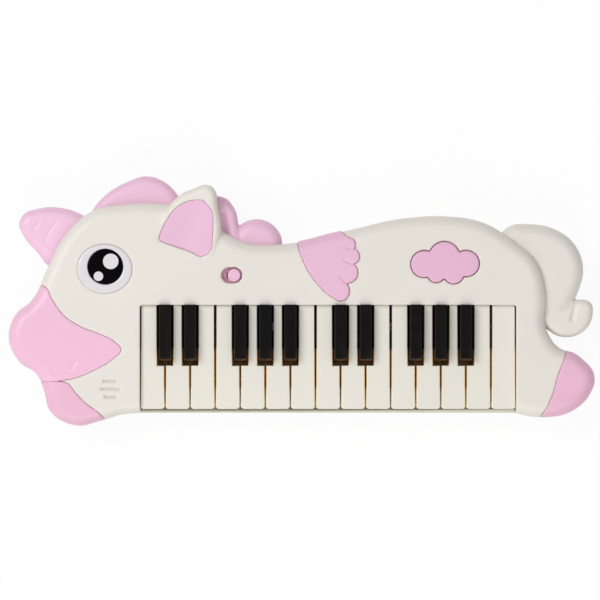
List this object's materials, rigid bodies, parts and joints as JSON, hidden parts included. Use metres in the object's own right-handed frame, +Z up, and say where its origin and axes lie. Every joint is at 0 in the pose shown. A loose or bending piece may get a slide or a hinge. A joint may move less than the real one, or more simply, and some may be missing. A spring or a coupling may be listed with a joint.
{
  "type": "toy piano",
  "caption": "Battery toy keyboard in the outline of a lying unicorn, with sprung hinged keys, a slide switch, a cloud push button and a loudspeaker.",
  "frame": {"origin": "on the table, under the middle of the whole outline seen from above", "axes": "+X along the keys to the right, +Y away from the player, +Z up"},
  "size_m": [0.4106, 0.1748, 0.048],
  "materials": {
    "white_shell": "satin, fine moulded grain",
    "pink_plastic": "satin, fine moulded grain",
    "pale_pink_plastic": "satin, fine moulded grain",
    "white_key": "semi gloss",
    "black_key": "semi gloss",
    "black_plastic": "matt",
    "eye_white": "gloss",
    "eye_black": "high gloss",
    "steel": "bright drawn steel",
    "board_brown": "paper laminate",
    "board_green": "solder mask",
    "dome_rubber": "matt silicone",
    "foot_rubber": "matt",
    "felt": "pressed felt",
    "paper": "pressed paper",
    "ferrite": "ferrite",
    "cell": "plain sleeve",
    "nickel": "nickel plate"
  },
  "bodies": {
    "case": {"upper_case": "white_shell", "lower_case": "white_shell", "tail": "white_shell", "muzzle": "pale_pink_plastic", "front_hoof": "pale_pink_plastic", "rear_hoof": "pink_plastic", "wing": "pink_plastic", "horn": "pale_pink_plastic", "front_mane": "pink_plastic", "rear_mane": "pink_plastic", "inner_ear": "pink_plastic", "eye_white": "eye_white", "eye_pupil": "eye_black", "button_dome": "dome_rubber", "switch_bezel": "pink_plastic", "slide_switch": "steel", "key_frame": "black_plastic", "pivot_rod": "steel", "key_felt": "felt", "contact_board": "board_brown", "key_domes": "dome_rubber", "control_board": "board_green", "sound_chip": "black_plastic", "speaker_basket": "steel", "speaker_cone": "paper", "speaker_magnet": "ferrite", "batteries": "cell", "battery_contacts": "nickel", "battery_door": "white_shell", "door_screw": "steel", "screws": "steel", "feet": "foot_rubber"},
    "cloud_button": {"cloud_button": "pink_plastic"},
    "switch_knob": {"switch_knob": "pink_plastic"},
    "white_key_01": {"white_key_01": "white_key"},
    "white_key_02": {"white_key_02": "white_key"},
    "white_key_03": {"white_key_03": "white_key"},
    "white_key_04": {"white_key_04": "white_key"},
    "white_key_05": {"white_key_05": "white_key"},
    "white_key_06": {"white_key_06": "white_key"},
    "white_key_07": {"white_key_07": "white_key"},
    "white_key_08": {"white_key_08": "white_key"},
    "white_key_09": {"white_key_09": "white_key"},
    "white_key_10": {"white_key_10": "white_key"},
    "white_key_11": {"white_key_11": "white_key"},
    "white_key_12": {"white_key_12": "white_key"},
    "white_key_13": {"white_key_13": "white_key"},
    "white_key_14": {"white_key_14": "white_key"},
    "white_key_15": {"white_key_15": "white_key"},
    "black_key_01": {"black_key_01": "black_key"},
    "black_key_02": {"black_key_02": "black_key"},
    "black_key_03": {"black_key_03": "black_key"},
    "black_key_04": {"black_key_04": "black_key"},
    "black_key_05": {"black_key_05": "black_key"},
    "black_key_06": {"black_key_06": "black_key"},
    "black_key_07": {"black_key_07": "black_key"},
    "black_key_08": {"black_key_08": "black_key"},
    "black_key_09": {"black_key_09": "black_key"},
    "black_key_10": {"black_key_10": "black_key"}
  },
  "joints": [
    {"name": "white_key_01_press", "type": "hinge", "parent": "case", "child": "white_key_01", "pos_m": [-0.10462, 0.006, 0.03], "axis": [1, 0, 0], "range_deg": [0, 2.8], "stiffness_Nm_per_rad": 0.6, "deforming": ["key_domes"]},
    {"name": "white_key_02_press", "type": "hinge", "parent": "case", "child": "white_key_02", "pos_m": [-0.08707, 0.006, 0.03], "axis": [1, 0, 0], "range_deg": [0, 2.8], "stiffness_Nm_per_rad": 0.6, "deforming": ["key_domes"]},
    {"name": "white_key_03_press", "type": "hinge", "parent": "case", "child": "white_key_03", "pos_m": [-0.06953, 0.006, 0.03], "axis": [1, 0, 0], "range_deg": [0, 2.8], "stiffness_Nm_per_rad": 0.6, "deforming": ["key_domes"]},
    {"name": "white_key_04_press", "type": "hinge", "parent": "case", "child": "white_key_04", "pos_m": [-0.05198, 0.006, 0.03], "axis": [1, 0, 0], "range_deg": [0, 2.8], "stiffness_Nm_per_rad": 0.6, "deforming": ["key_domes"]},
    {"name": "white_key_05_press", "type": "hinge", "parent": "case", "child": "white_key_05", "pos_m": [-0.03442, 0.006, 0.03], "axis": [1, 0, 0], "range_deg": [0, 2.8], "stiffness_Nm_per_rad": 0.6, "deforming": ["key_domes"]},
    {"name": "white_key_06_press", "type": "hinge", "parent": "case", "child": "white_key_06", "pos_m": [-0.01688, 0.006, 0.03], "axis": [1, 0, 0], "range_deg": [0, 2.8], "stiffness_Nm_per_rad": 0.6, "deforming": ["key_domes"]},
    {"name": "white_key_07_press", "type": "hinge", "parent": "case", "child": "white_key_07", "pos_m": [0.00068, 0.006, 0.03], "axis": [1, 0, 0], "range_deg": [0, 2.8], "stiffness_Nm_per_rad": 0.6, "deforming": ["key_domes"]},
    {"name": "white_key_08_press", "type": "hinge", "parent": "case", "child": "white_key_08", "pos_m": [0.01823, 0.006, 0.03], "axis": [1, 0, 0], "range_deg": [0, 2.8], "stiffness_Nm_per_rad": 0.6, "deforming": ["key_domes"]},
    {"name": "white_key_09_press", "type": "hinge", "parent": "case", "child": "white_key_09", "pos_m": [0.03578, 0.006, 0.03], "axis": [1, 0, 0], "range_deg": [0, 2.8], "stiffness_Nm_per_rad": 0.6, "deforming": ["key_domes"]},
    {"name": "white_key_10_press", "type": "hinge", "parent": "case", "child": "white_key_10", "pos_m": [0.05332, 0.006, 0.03], "axis": [1, 0, 0], "range_deg": [0, 2.8], "stiffness_Nm_per_rad": 0.6, "deforming": ["key_domes"]},
    {"name": "white_key_11_press", "type": "hinge", "parent": "case", "child": "white_key_11", "pos_m": [0.07087, 0.006, 0.03], "axis": [1, 0, 0], "range_deg": [0, 2.8], "stiffness_Nm_per_rad": 0.6, "deforming": ["key_domes"]},
    {"name": "white_key_12_press", "type": "hinge", "parent": "case", "child": "white_key_12", "pos_m": [0.08843, 0.006, 0.03], "axis": [1, 0, 0], "range_deg": [0, 2.8], "stiffness_Nm_per_rad": 0.6, "deforming": ["key_domes"]},
    {"name": "white_key_13_press", "type": "hinge", "parent": "case", "child": "white_key_13", "pos_m": [0.10597, 0.006, 0.03], "axis": [1, 0, 0], "range_deg": [0, 2.8], "stiffness_Nm_per_rad": 0.6, "deforming": ["key_domes"]},
    {"name": "white_key_14_press", "type": "hinge", "parent": "case", "child": "white_key_14", "pos_m": [0.12352, 0.006, 0.03], "axis": [1, 0, 0], "range_deg": [0, 2.8], "stiffness_Nm_per_rad": 0.6, "deforming": ["key_domes"]},
    {"name": "white_key_15_press", "type": "hinge", "parent": "case", "child": "white_key_15", "pos_m": [0.14108, 0.006, 0.03], "axis": [1, 0, 0], "range_deg": [0, 2.8], "stiffness_Nm_per_rad": 0.6, "deforming": ["key_domes"]},
    {"name": "black_key_01_press", "type": "hinge", "parent": "case", "child": "black_key_01", "pos_m": [-0.09585, 0.006, 0.03], "axis": [1, 0, 0], "range_deg": [0, 2.8], "stiffness_Nm_per_rad": 0.6, "deforming": ["key_domes"]},
    {"name": "black_key_02_press", "type": "hinge", "parent": "case", "child": "black_key_02", "pos_m": [-0.0783, 0.006, 0.03], "axis": [1, 0, 0], "range_deg": [0, 2.8], "stiffness_Nm_per_rad": 0.6, "deforming": ["key_domes"]},
    {"name": "black_key_03_press", "type": "hinge", "parent": "case", "child": "black_key_03", "pos_m": [-0.0432, 0.006, 0.03], "axis": [1, 0, 0], "range_deg": [0, 2.8], "stiffness_Nm_per_rad": 0.6, "deforming": ["key_domes"]},
    {"name": "black_key_04_press", "type": "hinge", "parent": "case", "child": "black_key_04", "pos_m": [-0.02565, 0.006, 0.03], "axis": [1, 0, 0], "range_deg": [0, 2.8], "stiffness_Nm_per_rad": 0.6, "deforming": ["key_domes"]},
    {"name": "black_key_05_press", "type": "hinge", "parent": "case", "child": "black_key_05", "pos_m": [-0.0081, 0.006, 0.03], "axis": [1, 0, 0], "range_deg": [0, 2.8], "stiffness_Nm_per_rad": 0.6, "deforming": ["key_domes"]},
    {"name": "black_key_06_press", "type": "hinge", "parent": "case", "child": "black_key_06", "pos_m": [0.027, 0.006, 0.03], "axis": [1, 0, 0], "range_deg": [0, 2.8], "stiffness_Nm_per_rad": 0.6, "deforming": ["key_domes"]},
    {"name": "black_key_07_press", "type": "hinge", "parent": "case", "child": "black_key_07", "pos_m": [0.04455, 0.006, 0.03], "axis": [1, 0, 0], "range_deg": [0, 2.8], "stiffness_Nm_per_rad": 0.6, "deforming": ["key_domes"]},
    {"name": "black_key_08_press", "type": "hinge", "parent": "case", "child": "black_key_08", "pos_m": [0.07965, 0.006, 0.03], "axis": [1, 0, 0], "range_deg": [0, 2.8], "stiffness_Nm_per_rad": 0.6, "deforming": ["key_domes"]},
    {"name": "black_key_09_press", "type": "hinge", "parent": "case", "child": "black_key_09", "pos_m": [0.0972, 0.006, 0.03], "axis": [1, 0, 0], "range_deg": [0, 2.8], "stiffness_Nm_per_rad": 0.6, "deforming": ["key_domes"]},
    {"name": "black_key_10_press", "type": "hinge", "parent": "case", "child": "black_key_10", "pos_m": [0.11475, 0.006, 0.03], "axis": [1, 0, 0], "range_deg": [0, 2.8], "stiffness_Nm_per_rad": 0.6, "deforming": ["key_domes"]},
    {"name": "cloud_press", "type": "slide", "parent": "case", "child": "cloud_button", "axis": [0, 0, -1], "range_m": [0, 0.0015], "stiffness_N_per_m": 400, "deforming": ["button_dome"]},
    {"name": "switch_slide", "type": "slide", "parent": "case", "child": "switch_knob", "axis": [1, 0, 0], "range_m": [-0.0034, 0]}
  ]
}
